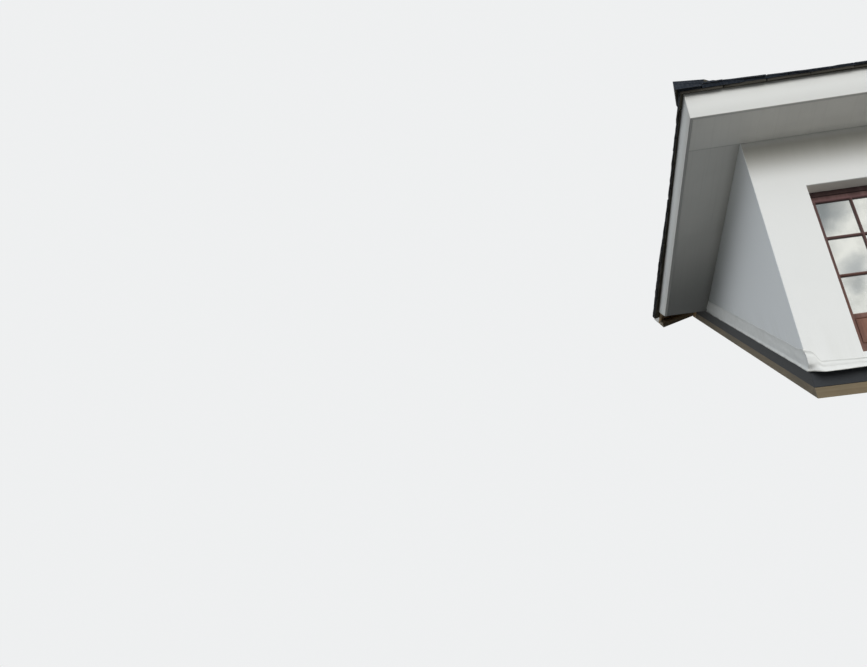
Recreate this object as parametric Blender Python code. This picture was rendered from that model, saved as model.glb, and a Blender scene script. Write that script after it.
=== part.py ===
# Hipped dormer window with rendered walls, a boxed eave and a slate roof.
# Metres, +Z up, +Y into the house, +X to the right as seen from outside.
# The origin is on the underside of the front sole plate, midway along it.
# Walls and valleys stand on the seat plane: the rafter tops of the roof that carries it.
# That roof's own slates lie a roof build-up higher, where the flashings and the eaves end.
import math

import bmesh
import bpy
from mathutils import Matrix, Vector

# Slopes
main_pitch = math.radians(38.7)
dormer_pitch = math.radians(38.7)

# Boarding, battens and slates of the carrying roof, square to its slope
roof_build_up = 0.100

# Walls
wall_width = 1.640
front_wall_thickness = 0.125
cheek_thickness = 0.120
front_height = 1.250
plate_height = 0.050
sole_thickness = 0.038

# Window opening
window_width = 1.170
window_drop = 0.3015
window_foot = 0.060
window_recess = 0.0635
sill_fall = 0.012

# Window frame
frame_depth = 0.054
frame_cover = 0.020
head_face = 0.026
jamb_face = 0.006
sill_face = 0.015
mullion_face = 0.050
frame_stop = 0.005

# Sashes
sash_gap = 0.0015
sash_setback = 0.003
sash_thickness = 0.040
stile_face = 0.031
bar_face = 0.0125
bar_depth = 0.0095
bar_chamfer = 0.0045
panes_across = 3
panes_up = 3
glass_thickness = 0.004
glass_cover = 0.004

# Solid panel in the foot of each sash
panel_band = 0.193
panel_top_rail = 0.030
panel_foot_rail = 0.045
panel_thickness = 0.012
panel_cover = 0.008
panel_slope = 0.018
panel_raise = 0.006

# Eave
side_overhang = 0.2605
front_overhang = 0.241
fascia_height = 0.150
fascia_thickness = 0.015
fascia_lip = 0.005
soffit_thickness = 0.009

# Roof timbers
timber_width = 0.038
rafter_depth = 0.114
rafter_notch = 0.037
rafter_bays = 3.4
ridge_thickness = 0.025
ridge_depth = 0.150
lay_board_thickness = 0.025
lay_board_width = 0.110
deck_thickness = 0.022

# Slates, caps and valley linings
tail_thickness = 0.022
head_thickness = 0.0125
slate_exposure = 0.155
front_slate_overhang = 0.030
side_slate_overhang = 0.010
side_eave_thickness = 0.014
cap_width = 0.100
cap_overhang = 0.045
cap_thickness = 0.013
cap_tip_thickness = 0.045
cap_exposure = 0.200
valley_half_opening = 0.050
lining_thickness = 0.0008
lining_clearance = 0.0014
lining_up_deck = 0.120
lining_on_roof = 0.110

# Flashings
apron_height = 0.040
apron_edge = 0.004
apron_bulge = 0.014
apron_foot = 0.034
corner_height = 0.104
corner_width = 0.048
corner_bulge = 0.024
cheek_flashing_height = 0.085
cheek_flashing_thickness = 0.003

# Clearance between pieces that touch, and how far cutting tools reach past a piece
fit = 0.0003
reach = 0.050

# Sizes that follow from the ones above
rise_main = math.tan(main_pitch)
rise = math.tan(dormer_pitch)
half_width = wall_width / 2
front_face = -front_wall_thickness / 2
back_face = front_wall_thickness / 2
surface_lift = roof_build_up / math.cos(main_pitch)
soffit_level = rise_main * front_face + surface_lift + front_height
opening_top = soffit_level - window_drop
opening_foot = soffit_level - front_height + window_foot
frame_front = front_face + window_recess
sash_front = frame_front + sash_setback
eave_x = half_width + side_overhang
eave_y = front_face - front_overhang
apex_y = eave_y + eave_x
slate_under = soffit_level + fascia_height
deck_top = slate_under - lining_clearance / math.cos(dormer_pitch)
deck_under = deck_top - deck_thickness / math.cos(dormer_pitch)
rafter_drop = rafter_depth / math.cos(dormer_pitch)
plate_top = deck_under + side_overhang * rise - rafter_drop + rafter_notch
wall_top = plate_top - plate_height
ridge_end = (slate_under + eave_x * rise) / rise_main
rafter_spacing = (ridge_end - apex_y) / rafter_bays
behind = ridge_end + front_height
below = -front_height
above = slate_under + eave_x * rise + front_height

colours = {
    "render": ((0.80, 0.80, 0.77), 0.85, 0.0),
    "fascia_paint": ((0.78, 0.78, 0.75), 0.55, 0.0),
    "soffit_paint": ((0.66, 0.66, 0.64), 0.70, 0.0),
    "slate": ((0.10, 0.12, 0.13), 0.60, 0.0),
    "hardwood": ((0.20, 0.075, 0.05), 0.45, 0.0),
    "glass": ((0.72, 0.77, 0.78), 0.05, 0.0),
    "pine": ((0.60, 0.45, 0.28), 0.75, 0.0),
    "flashing": ((0.82, 0.82, 0.79), 0.70, 0.0),
    "lead": ((0.30, 0.31, 0.32), 0.55, 0.8),
}


def clear_scene():
    for old in list(bpy.data.objects):
        bpy.data.objects.remove(old, do_unlink=True)


def material(name):
    found = bpy.data.materials.get(name)
    if found:
        return found
    colour, roughness, metallic = colours[name]
    made = bpy.data.materials.new(name)
    made.use_nodes = True
    shader = made.node_tree.nodes["Principled BSDF"]
    shader.inputs["Base Color"].default_value = (*colour, 1.0)
    shader.inputs["Roughness"].default_value = roughness
    shader.inputs["Metallic"].default_value = metallic
    return made


def place(name, bm, finish, parent):
    """Makes the mesh an object whose origin is the middle of its box."""
    bmesh.ops.recalc_face_normals(bm, faces=bm.faces)
    corners = [v.co for v in bm.verts]
    low = Vector(min(c[i] for c in corners) for i in range(3))
    high = Vector(max(c[i] for c in corners) for i in range(3))
    middle = (low + high) / 2
    bmesh.ops.translate(bm, verts=bm.verts, vec=-middle)
    mesh = bpy.data.meshes.new(name)
    bm.to_mesh(mesh)
    bm.free()
    made = bpy.data.objects.new(name, mesh)
    made.data.materials.append(material(finish))
    made.location = middle
    made.parent = parent
    bpy.context.scene.collection.objects.link(made)
    return made


def mirrored(bm):
    bmesh.ops.scale(bm, verts=bm.verts, vec=(-1, 1, 1))
    bmesh.ops.reverse_faces(bm, faces=bm.faces)
    return bm


def place_pair(name, build, finish, parent):
    """The right-hand piece as built, and its mirror image on the left."""
    place("right_" + name, build(), finish, parent)
    place("left_" + name, mirrored(build()), finish, parent)


def shape_by(target, operation, tools, parent):
    """Cuts each tool from the target, or joins it on."""
    for number, bm in enumerate(tools):
        label = f"{target.name}_{operation.lower()}_{number}"
        tool = place(label, bm, "render", parent)
        tool.hide_render = True
        tool.display_type = "WIRE"
        step = target.modifiers.new(label, "BOOLEAN")
        step.operation = operation
        step.object = tool


def block(low, high):
    bm = bmesh.new()
    bmesh.ops.create_cube(bm, size=1.0)
    bmesh.ops.scale(bm, verts=bm.verts, vec=[high[i] - low[i] for i in range(3)])
    bmesh.ops.translate(bm, verts=bm.verts, vec=[(high[i] + low[i]) / 2 for i in range(3)])
    return bm


def prism(outline, sweep):
    """A flat outline of 3-D points, pushed along sweep."""
    bm = bmesh.new()
    face = bm.faces.new([bm.verts.new(p) for p in outline])
    pushed = bmesh.ops.extrude_face_region(bm, geom=[face])
    moved = [v for v in pushed["geom"] if isinstance(v, bmesh.types.BMVert)]
    bmesh.ops.translate(bm, verts=moved, vec=sweep)
    bmesh.ops.recalc_face_normals(bm, faces=bm.faces)
    return bm


def trim(bm, point, normal):
    """Cuts away what lies on the side that the normal points to, and closes the cut."""
    geometry = bm.verts[:] + bm.edges[:] + bm.faces[:]
    cut = bmesh.ops.bisect_plane(
        bm, geom=geometry, dist=fit / reach * fit, plane_co=point, plane_no=normal, clear_outer=True
    )
    rim = [e for e in cut["geom_cut"] if isinstance(e, bmesh.types.BMEdge) and e.is_boundary]
    if rim:
        bmesh.ops.edgenet_fill(bm, edges=rim)
    return bm


def seat_up():
    return Vector((0, -math.sin(main_pitch), math.cos(main_pitch)))


def side_slope_up():
    return Vector((math.sin(dormer_pitch), 0, math.cos(dormer_pitch)))


def front_slope_up():
    return Vector((0, -math.sin(dormer_pitch), math.cos(dormer_pitch)))


def above_seat(bm, gap=0.0):
    """Cuts a piece off parallel to the seat plane, gap above it."""
    return trim(bm, seat_up() * gap, -seat_up())


def within_seat(bm, gap):
    """Keeps what lies less than gap above the seat plane."""
    return trim(bm, seat_up() * gap, seat_up())


def above_surface(bm):
    """Cuts a piece off along the slates of the carrying roof."""
    return above_seat(bm, roof_build_up)


def under_side_deck(bm, gap=fit):
    normal = side_slope_up()
    return trim(bm, Vector((eave_x, 0, deck_under)) - normal * gap, normal)


def under_front_deck(bm, gap=fit):
    normal = front_slope_up()
    return trim(bm, Vector((0, eave_y, deck_under)) - normal * gap, normal)


def right_of_middle(bm, gap=fit / 2):
    return trim(bm, (gap, 0, 0), (-1, 0, 0))


def behind_hip(bm, gap=fit / 2):
    """Keeps the side slope's part of a piece."""
    normal = Vector((-1, -1, 0)).normalized()
    return trim(bm, Vector((eave_x, eave_y, 0)) - normal * gap, normal)


def ahead_of_hip(bm, gap=fit / 2):
    """Keeps the front slope's part of a piece, at the right-hand hip."""
    normal = Vector((1, 1, 0)).normalized()
    return trim(bm, Vector((eave_x, eave_y, 0)) - normal * gap, normal)


def on_both_sides(bm, cut):
    """Makes a right-hand cut on the right and then on the left."""
    cut(bm)
    return cut(mirrored(bm))


def valley_normal():
    return Vector((rise, rise_main, 0)).normalized()


def valley_point():
    """Where the top of the deck meets the seat plane, above the eave line."""
    return Vector((eave_x, deck_top / rise_main, 0))


def on_side(run, level, y=0.0):
    """A point by its run in from the side eave and its level."""
    return Vector((eave_x - run, y, level))


def on_front(run, level, x=0.0):
    return Vector((x, eave_y + run, level))


def front_wall():
    bm = block((-half_width, front_face, below), (half_width, back_face, wall_top - fit))
    return above_seat(bm, sole_thickness + fit)


def reveal_hole():
    """The opening in front of the window frame; its foot falls towards the outside."""
    x = window_width / 2
    outside = front_face - reach
    inside = back_face + reach
    fall = sill_fall / window_recess
    outline = [
        Vector((-x, outside, opening_top)),
        Vector((-x, outside, opening_foot - fall * reach)),
        Vector((-x, frame_front, opening_foot + sill_fall)),
        Vector((-x, inside, opening_foot + sill_fall)),
        Vector((-x, inside, opening_top)),
    ]
    return prism(outline, (window_width, 0, 0))


def frame_hole():
    """The wider opening behind, which lets the render lap over the frame."""
    x = window_width / 2 + frame_cover
    low = (-x, frame_front, opening_foot + sill_fall)
    return block(low, (x, back_face + reach, opening_top + frame_cover))


def cheek():
    low = (half_width - cheek_thickness, back_face + fit, below)
    return above_seat(block(low, (half_width, behind, wall_top - fit)), sole_thickness + fit)


def front_sole():
    bm = block((-half_width, front_face, below), (half_width, back_face, above))
    return above_seat(within_seat(bm, sole_thickness))


def cheek_sole():
    low = (half_width - cheek_thickness, back_face + fit, below)
    bm = block(low, (half_width, behind, wall_top - fit))
    return above_seat(within_seat(bm, sole_thickness))


def front_plate():
    return block((-half_width, front_face, wall_top), (half_width, back_face, plate_top))


def cheek_plate():
    low = (half_width - cheek_thickness, back_face + fit, wall_top)
    return above_seat(block(low, (half_width, behind, plate_top)))


def rafter_outline(overhang, run):
    """Run and level of a common rafter's corners, with its notch over the plate."""
    tail = fascia_thickness + fit
    top = deck_under - fit / math.cos(dormer_pitch)
    under = top - rafter_drop
    seat = plate_top + fit
    seat_end = (seat - under) / rise
    heel = overhang - fit
    return [
        (tail, top + tail * rise),
        (tail, under + tail * rise),
        (heel, under + heel * rise),
        (heel, seat),
        (seat_end, seat),
        (run, under + run * rise),
        (run, top + run * rise),
    ]


def clear_soffit(bm):
    return trim(bm, (0, 0, soffit_level + soffit_thickness + fit), (0, 0, -1))


def side_rafter(y):
    run = eave_x - ridge_thickness / 2 - fit
    outline = [on_side(r, z, y) for r, z in rafter_outline(side_overhang, run)]
    return clear_soffit(prism(outline, (0, timber_width, 0)))


def front_rafter():
    run = eave_x - fit
    outline = [on_front(r, z, -timber_width / 2) for r, z in rafter_outline(front_overhang, run)]
    return on_both_sides(clear_soffit(prism(outline, (timber_width, 0, 0))), under_side_deck)


def valley_rafter(y):
    """A rafter from the ridge down to the lay board on the seat plane."""
    bm = block((ridge_thickness / 2 + fit, y, 0), (eave_x, y + timber_width, above))
    under_side_deck(bm)
    trim(bm, Vector((eave_x, 0, deck_under)) - side_slope_up() * (rafter_depth + fit), -side_slope_up())
    return above_seat(bm, lay_board_thickness + fit)


def hip_rafter():
    """Backed to both slopes, and notched over the corner of the plates."""
    half = timber_width / 2
    middle = (side_overhang + front_overhang) / 2
    heel = max(middle, max(side_overhang, front_overhang) - half / math.sqrt(2)) - fit
    under = deck_under - rafter_drop
    seat = plate_top + fit
    seat_end = (seat - under) / rise
    outline = [
        (0, deck_under + fit),
        (0, under),
        (heel, under + heel * rise),
        (heel, seat),
        (seat_end, seat),
        (eave_x, under + eave_x * rise),
        (eave_x, deck_under + eave_x * rise + fit),
    ]
    across = Vector((1, 1, 0)).normalized()
    start = Vector((eave_x, eave_y, 0)) - across * half
    bm = prism([start + Vector((-t, t, z)) for t, z in outline], across * timber_width)
    under_side_deck(bm)
    under_front_deck(bm)
    trim(bm, (eave_x - fascia_thickness - fit, 0, 0), (1, 0, 0))
    trim(bm, (0, eave_y + fascia_thickness + fit, 0), (0, -1, 0))
    right_of_middle(bm, half + fit)
    trim(bm, (0, apex_y - fit, 0), (0, 1, 0))
    return clear_soffit(bm)


def ridge_board():
    half = ridge_thickness / 2
    top = deck_under + (eave_x - half) * rise - fit / math.cos(dormer_pitch)
    bm = block((-half, apex_y, top - ridge_depth), (half, behind, top))
    return above_seat(bm, lay_board_thickness + fit)


def lay_board():
    """Lies on the seat plane under the lower edge of the deck."""
    bm = block((fit / 2, 0, 0), (eave_x - fascia_thickness - fit, behind, above))
    within_seat(bm, lay_board_thickness)
    above_seat(bm)
    under_side_deck(bm)
    return trim(bm, valley_point() - valley_normal() * lay_board_width, -valley_normal())


def deck_outline():
    """Run and level of the boarding, plumb behind the fascia and at the ridge."""
    ends = (fascia_thickness + fit, eave_x)
    under = [(r, deck_under + r * rise) for r in ends]
    return under + [(r, z + deck_top - deck_under) for r, z in reversed(under)]


def side_deck():
    bm = prism([on_side(r, z, eave_y) for r, z in deck_outline()], (0, behind - eave_y, 0))
    right_of_middle(behind_hip(bm))
    return above_seat(bm, fit)


def front_deck():
    bm = prism([on_front(r, z, -eave_x) for r, z in deck_outline()], (2 * eave_x, 0, 0))
    return on_both_sides(bm, ahead_of_hip)


def course_steps(length, exposure, head, tail):
    """Distance and height of the stepped top of lapped courses."""
    steps = []
    for course in range(math.ceil(length / exposure)):
        steps.append((course * exposure, tail))
        steps.append(((course + 1) * exposure, head))
    return steps


def slate_outline(overhang, eave_thickness):
    """Run and level of the stepped covering, from its overhang to past the ridge."""
    sine = math.sin(dormer_pitch)
    cosine = math.cos(dormer_pitch)
    run = -overhang
    level = slate_under - overhang * rise
    length = (eave_x + overhang) / cosine
    steps = course_steps(length, slate_exposure, head_thickness, tail_thickness)
    steps[0] = (0, eave_thickness)
    top = [(run + s * cosine - h * sine, level + s * sine + h * cosine) for s, h in steps]
    end = steps[-1][0]
    return [(run, level), (run + end * cosine, level + end * sine)] + top[::-1]


def side_slates():
    start = eave_y - reach
    outline = slate_outline(side_slate_overhang, side_eave_thickness)
    bm = prism([on_side(r, z, start) for r, z in outline], (0, behind - start, 0))
    right_of_middle(behind_hip(bm))
    return trim(bm, valley_point() - valley_normal() * valley_half_opening, valley_normal())


def front_slates():
    width = eave_x + reach
    outline = slate_outline(front_slate_overhang, tail_thickness)
    bm = prism([on_front(r, z, -width) for r, z in outline], (2 * width, 0, 0))
    return on_both_sides(bm, ahead_of_hip)


def cap_run(start, along, across, up, length, fold, tip):
    """Lapped cap slates on one slope, joined over the fold to their mirror image."""
    steps = course_steps(length, cap_exposure, cap_thickness, 2 * cap_thickness)
    steps[0] = (0, tip)
    outline = [start, start + along * steps[-1][0]]
    outline += [start + along * s + up * h for s, h in reversed(steps)]
    side = across * cap_width
    bm = trim(prism([p - side for p in outline], side * 2), start, fold)
    open_side = [f for f in bm.faces if all(abs((v.co - start).dot(fold)) < fit / reach * fit for v in f.verts)]
    bmesh.ops.delete(bm, geom=open_side, context="FACES")
    frame = Matrix.Translation(start) @ fold.to_track_quat("X", "Z").to_matrix().to_4x4()
    bm.transform(frame.inverted())
    whole = bm.verts[:] + bm.edges[:] + bm.faces[:]
    bmesh.ops.mirror(bm, geom=whole, axis="X", merge_dist=fit / 10)
    bm.transform(frame)
    bmesh.ops.recalc_face_normals(bm, faces=bm.faces)
    return bm


def cap_level():
    """Vertical rise from the underside of the slates to that of the caps."""
    return (tail_thickness + fit) / math.cos(dormer_pitch)


def hip_cap():
    """Bedded thicker at its tip, and cut plumb along both eaves there."""
    up = side_slope_up()
    along = Vector((-1, 1, rise)).normalized()
    across = along.cross(up).normalized()
    fold = Vector((-1, -1, 0)).normalized()
    level = slate_under - cap_overhang * rise + cap_level()
    start = Vector((eave_x + cap_overhang, eave_y - cap_overhang, level))
    length = (eave_x + cap_overhang) * math.sqrt(2 + rise * rise)
    bm = cap_run(start, along, across, up, length, fold, cap_tip_thickness)
    trim(bm, start, (1, 0, 0))
    trim(bm, start, (0, -1, 0))
    right_of_middle(bm)
    return trim(bm, (0, apex_y - fit, 0), (0, 1, 0))


def ridge_cap():
    up = side_slope_up()
    across = Vector((math.cos(dormer_pitch), 0, -math.sin(dormer_pitch)))
    start = Vector((0, apex_y, slate_under + eave_x * rise + cap_level()))
    length = behind - apex_y
    bm = cap_run(start, Vector((0, 1, 0)), across, up, length, Vector((-1, 0, 0)), 2 * cap_thickness)
    return above_seat(bm, 2 * lining_clearance)


def valley_lining():
    """A folded sheet: one leg on the deck under the slates, one leg on the seat plane."""
    along = Vector((-rise_main, rise, rise * rise_main)).normalized()
    on_deck = along.cross(side_slope_up()).normalized()
    on_seat = seat_up().cross(along).normalized()
    on_deck *= math.copysign(lining_up_deck, -on_deck.y)
    on_seat *= math.copysign(lining_on_roof, on_seat.y)
    offset = (side_slope_up() + seat_up()) / (1 + side_slope_up().dot(seat_up()))
    corner = valley_point()
    corner.z = deck_top
    fold = corner + offset * fit - along * behind
    top = fold + offset * lining_thickness
    outline = [
        fold + on_deck,
        fold,
        fold + on_seat,
        fold + on_seat + seat_up() * lining_thickness,
        top,
        fold + on_deck + side_slope_up() * lining_thickness,
    ]
    bm = prism(outline, along * 2 * behind)
    trim(bm, (eave_x - fascia_thickness - fit, 0, 0), (1, 0, 0))
    return right_of_middle(bm)


def front_fascia():
    low = (-eave_x, eave_y, soffit_level - fascia_lip)
    high = (eave_x, eave_y + fascia_thickness, slate_under - fit / math.cos(dormer_pitch))
    return on_both_sides(block(low, high), ahead_of_hip)


def side_fascia():
    low = (eave_x - fascia_thickness, eave_y, soffit_level - fascia_lip)
    high = (eave_x, behind, slate_under - fit / math.cos(dormer_pitch))
    return above_surface(behind_hip(block(low, high)))


def front_soffit():
    inside = eave_x - fascia_thickness - fit
    low = (-inside, eave_y + fascia_thickness + fit, soffit_level)
    return block(low, (inside, front_face - fit, soffit_level + soffit_thickness))


def side_soffit():
    low = (half_width + fit, front_face, soffit_level)
    high = (eave_x - fascia_thickness - fit, behind, soffit_level + soffit_thickness)
    return above_surface(block(low, high))


def window_frame():
    x = window_width / 2 + frame_cover - fit
    low = (-x, frame_front + fit, opening_foot + sill_fall + fit)
    return block(low, (x, frame_front + frame_depth, opening_top + frame_cover - fit))


def sash_box():
    """Low and high corner of the right-hand sash."""
    foot = opening_foot + sill_fall + sill_face + sash_gap
    low = Vector((mullion_face / 2 + sash_gap, sash_front, foot))
    side = window_width / 2 - jamb_face - sash_gap
    top = opening_top - head_face - sash_gap
    return low, Vector((side, sash_front + sash_thickness, top))


def frame_holes():
    """The rebate for the right-hand sash, and the way through inside its stop."""
    low, high = sash_box()
    gap = Vector((sash_gap, 0, sash_gap))
    stop = Vector((frame_stop, 0, frame_stop))
    out = Vector((0, reach, 0))
    yield block(low - gap - out, high + gap + Vector((0, fit, 0)))
    yield block(low - gap + stop, high + gap - stop + out)


def sight_hole(low, high):
    """A sight opening through the sash, chamfered on the outside."""
    start = sash_front + bar_chamfer
    bm = block((low.x, start, low.z), (high.x, sash_front + sash_thickness + reach, high.z))
    front = min(bm.faces, key=lambda f: f.calc_center_median().y)
    pushed = bmesh.ops.extrude_discrete_faces(bm, faces=[front])["faces"][0]
    bmesh.ops.translate(bm, verts=pushed.verts, vec=(0, -reach, 0))
    size = high - low
    grow = Vector((1 + 2 * reach / size.x, 1, 1 + 2 * reach / size.z))
    middle = Matrix.Translation(-(low + high) / 2)
    bmesh.ops.scale(bm, vec=grow, verts=pushed.verts, space=middle)
    return bm


def panes():
    """Low and high corner of each sight opening of the right-hand sash."""
    low, high = sash_box()
    width = (high.x - low.x - 2 * stile_face - (panes_across - 1) * bar_face) / panes_across
    foot = low.z + panel_band
    height = (high.z - stile_face - foot - (panes_up - 1) * bar_face) / panes_up
    for column in range(panes_across):
        for row in range(panes_up):
            corner = Vector((low.x + stile_face + column * (width + bar_face), 0, foot + row * (height + bar_face)))
            yield corner, corner + Vector((width, 0, height))


def panel_opening():
    low, high = sash_box()
    start = Vector((low.x + stile_face, 0, low.z + panel_foot_rail))
    return start, Vector((high.x - stile_face, 0, low.z + panel_band - panel_top_rail))


def glass_box():
    """Low and high corner of the glazing rebate's glass, at the back of the bars."""
    low, high = sash_box()
    front = sash_front + bar_depth
    cover = stile_face - glass_cover
    first = Vector((low.x + cover, front, low.z + panel_band - glass_cover))
    return first, Vector((high.x - cover, front + glass_thickness, high.z - cover))


def panel_box():
    start, end = panel_opening()
    front = sash_front + bar_depth
    cover = Vector((panel_cover, 0, panel_cover))
    lift = Vector((0, front, 0))
    return start - cover + lift, end + cover + lift + Vector((0, panel_thickness, 0))


def rebate(box):
    """The space for glass or panel, open to the inside."""
    low, high = box
    return block(low, (high.x, sash_front + sash_thickness + reach, high.z))


def shrunk(box):
    low, high = box
    gap = Vector((fit, fit, fit))
    return block(low + gap, high - gap)


def sash_panel():
    """A panel with a raised field between sloping margins."""
    bm = shrunk(panel_box())
    field = min(bm.faces, key=lambda f: f.calc_center_median().y)
    bmesh.ops.inset_region(bm, faces=[field], thickness=panel_cover, use_even_offset=True)
    bmesh.ops.inset_region(bm, faces=[field], thickness=panel_slope, depth=panel_raise, use_even_offset=True)
    return bm


def apron_section(height, bulge):
    """Reach from the wall and level above the slates, down to the foot on the slope."""
    return [
        (0, height),
        (apron_edge, height - apron_edge),
        (bulge, height * 2 / 3),
        (bulge, height / 6),
        (apron_foot, apron_edge - apron_foot * rise_main),
        (apron_foot, -apron_foot * rise_main),
        (0, 0),
    ]


def apron_length(section, x, length):
    base = rise_main * (front_face - fit) + surface_lift
    outline = [Vector((x, front_face - fit - out, base + level)) for out, level in section]
    return above_surface(prism(outline, (length, 0, 0)))


def front_apron():
    width = half_width + cheek_flashing_thickness + 2 * fit
    return apron_length(apron_section(apron_height, apron_bulge), -width, 2 * width)


def corner_patch():
    """The apron turns up at each corner of the wall."""
    start = half_width + cheek_flashing_thickness + 2 * fit - corner_width
    return apron_length(apron_section(corner_height, corner_bulge), start, corner_width)


def cheek_flashing():
    low = (half_width + fit, front_face, below)
    bm = block(low, (half_width + fit + cheek_flashing_thickness, behind, soffit_level - fit))
    return above_surface(within_seat(bm, roof_build_up + cheek_flashing_height))


def build_walls(parent):
    wall = place("front_wall", front_wall(), "render", parent)
    shape_by(wall, "DIFFERENCE", [reveal_hole(), frame_hole()], parent)
    place_pair("cheek", cheek, "render", parent)
    place("front_sole_plate", front_sole(), "pine", parent)
    place_pair("sole_plate", cheek_sole, "pine", parent)
    place("front_wall_plate", front_plate(), "pine", parent)
    place_pair("wall_plate", cheek_plate, "pine", parent)


def build_roof_frame(parent):
    place("ridge_board", ridge_board(), "pine", parent)
    place("front_rafter", front_rafter(), "pine", parent)
    place_pair("hip_rafter", hip_rafter, "pine", parent)
    place_pair("crown_rafter", lambda: side_rafter(apex_y), "pine", parent)
    place_pair("common_rafter", lambda: side_rafter(apex_y + rafter_spacing), "pine", parent)
    place_pair("valley_rafter", lambda: valley_rafter(apex_y + 2 * rafter_spacing), "pine", parent)
    place_pair("lay_board", lay_board, "pine", parent)
    place("front_roof_deck", front_deck(), "pine", parent)
    place_pair("roof_deck", side_deck, "pine", parent)


def build_covering(parent):
    place("front_slates", front_slates(), "slate", parent)
    place_pair("slates", side_slates, "slate", parent)
    place_pair("hip_cap", hip_cap, "slate", parent)
    place("ridge_cap", ridge_cap(), "slate", parent)
    place_pair("valley_lining", valley_lining, "lead", parent)


def build_eaves(parent):
    place("front_fascia", front_fascia(), "fascia_paint", parent)
    place_pair("fascia", side_fascia, "fascia_paint", parent)
    place("front_soffit", front_soffit(), "soffit_paint", parent)
    place_pair("soffit", side_soffit, "soffit_paint", parent)


def build_sash(side, turn, parent):
    """One sash; turn makes the left-hand one from right-hand shapes."""
    sash = place(side + "_sash", turn(block(*sash_box())), "hardwood", parent)
    holes = [sight_hole(low, high) for low, high in panes()]
    holes += [sight_hole(*panel_opening()), rebate(glass_box()), rebate(panel_box())]
    shape_by(sash, "DIFFERENCE", [turn(hole) for hole in holes], parent)


def build_window(parent):
    frame = place("window_frame", window_frame(), "hardwood", parent)
    shape_by(frame, "DIFFERENCE", [*frame_holes(), *map(mirrored, frame_holes())], parent)
    build_sash("right", lambda bm: bm, parent)
    build_sash("left", mirrored, parent)
    place_pair("sash_glass", lambda: shrunk(glass_box()), "glass", parent)
    place_pair("sash_panel", sash_panel, "hardwood", parent)


def build_flashings(parent):
    apron = place("front_apron", front_apron(), "flashing", parent)
    shape_by(apron, "UNION", [corner_patch(), mirrored(corner_patch())], parent)
    place_pair("cheek_flashing", cheek_flashing, "flashing", parent)


def main():
    clear_scene()
    root = bpy.data.objects.new("dormer_window", None)
    bpy.context.scene.collection.objects.link(root)
    build_walls(root)
    build_roof_frame(root)
    build_covering(root)
    build_eaves(root)
    build_window(root)
    build_flashings(root)


main()
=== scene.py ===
import math
import random

import bmesh
import bpy
from mathutils import Matrix, Vector, noise


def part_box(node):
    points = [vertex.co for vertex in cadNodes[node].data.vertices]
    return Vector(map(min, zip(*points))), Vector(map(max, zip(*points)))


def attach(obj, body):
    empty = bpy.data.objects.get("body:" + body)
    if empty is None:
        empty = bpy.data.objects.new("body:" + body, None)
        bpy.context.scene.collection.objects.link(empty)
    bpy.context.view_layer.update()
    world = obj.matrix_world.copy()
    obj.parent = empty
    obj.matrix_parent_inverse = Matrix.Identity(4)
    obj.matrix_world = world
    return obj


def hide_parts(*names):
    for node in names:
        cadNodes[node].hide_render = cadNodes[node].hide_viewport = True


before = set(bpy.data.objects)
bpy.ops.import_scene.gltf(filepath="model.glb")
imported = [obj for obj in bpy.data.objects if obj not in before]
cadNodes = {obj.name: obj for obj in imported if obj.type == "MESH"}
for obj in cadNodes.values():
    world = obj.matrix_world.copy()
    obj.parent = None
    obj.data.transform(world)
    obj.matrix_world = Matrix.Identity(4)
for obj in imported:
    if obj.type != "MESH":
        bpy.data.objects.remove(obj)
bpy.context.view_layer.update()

imageSize = (867, 667)


# Levels and faces that several pieces share, read from the solids

pitch = math.radians(38.7)
rise = math.tan(pitch)
cosine, sine = math.cos(pitch), math.sin(pitch)
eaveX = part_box("right_fascia")[1].x
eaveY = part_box("front_fascia")[0].y
apexY = eaveY + eaveX
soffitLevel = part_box("front_soffit")[0].z
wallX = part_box("front_wall")[1].x
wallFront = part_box("front_wall")[0].y
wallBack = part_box("front_wall")[1].y
slateGap, deckGap = 0.0003, 0.0014  # fascia to slates and slates to deck, square to the slope
roofDepth = 0.100  # seat to the top of the carrying roof's slates, square to the slope
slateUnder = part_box("front_fascia")[1].z + slateGap / cosine
deckTop = slateUnder - deckGap / cosine
roofLift = roofDepth / cosine
seatUp = Vector((0, -sine, cosine))
print("levels read: soffit", round(soffitLevel, 3), "eave", round(eaveX, 3), round(eaveY, 3))


# Shader maths as plain expressions

def arithmetic(operation):
    # an operator and its reflected form
    def forward(self, other):
        return self.calc(operation, self, other)

    def reflected(self, other):
        return self.calc(operation, other, self)

    return forward, reflected


class Signal:
    def __init__(self, finish, socket):
        self.finish = finish
        self.socket = socket

    def calc(self, operation, *terms, clamp=False):
        settings = {"operation": operation, "use_clamp": clamp}
        return self.finish.add("ShaderNodeMath", settings, dict(enumerate(terms)))

    __add__, __radd__ = arithmetic("ADD")
    __sub__, __rsub__ = arithmetic("SUBTRACT")
    __mul__, __rmul__ = arithmetic("MULTIPLY")
    __truediv__, __rtruediv__ = arithmetic("DIVIDE")

    def __abs__(self):
        return self.calc("ABSOLUTE", self)

    def clamped(self):
        return self.calc("ADD", self, 0.0, clamp=True)

    def ramp(self, low, high):
        # 0 at low, 1 at high, with soft ends
        sockets = {"Value": self, "From Min": low, "From Max": high}
        return self.finish.add("ShaderNodeMapRange", {"interpolation_type": "SMOOTHSTEP"}, sockets)


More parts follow.
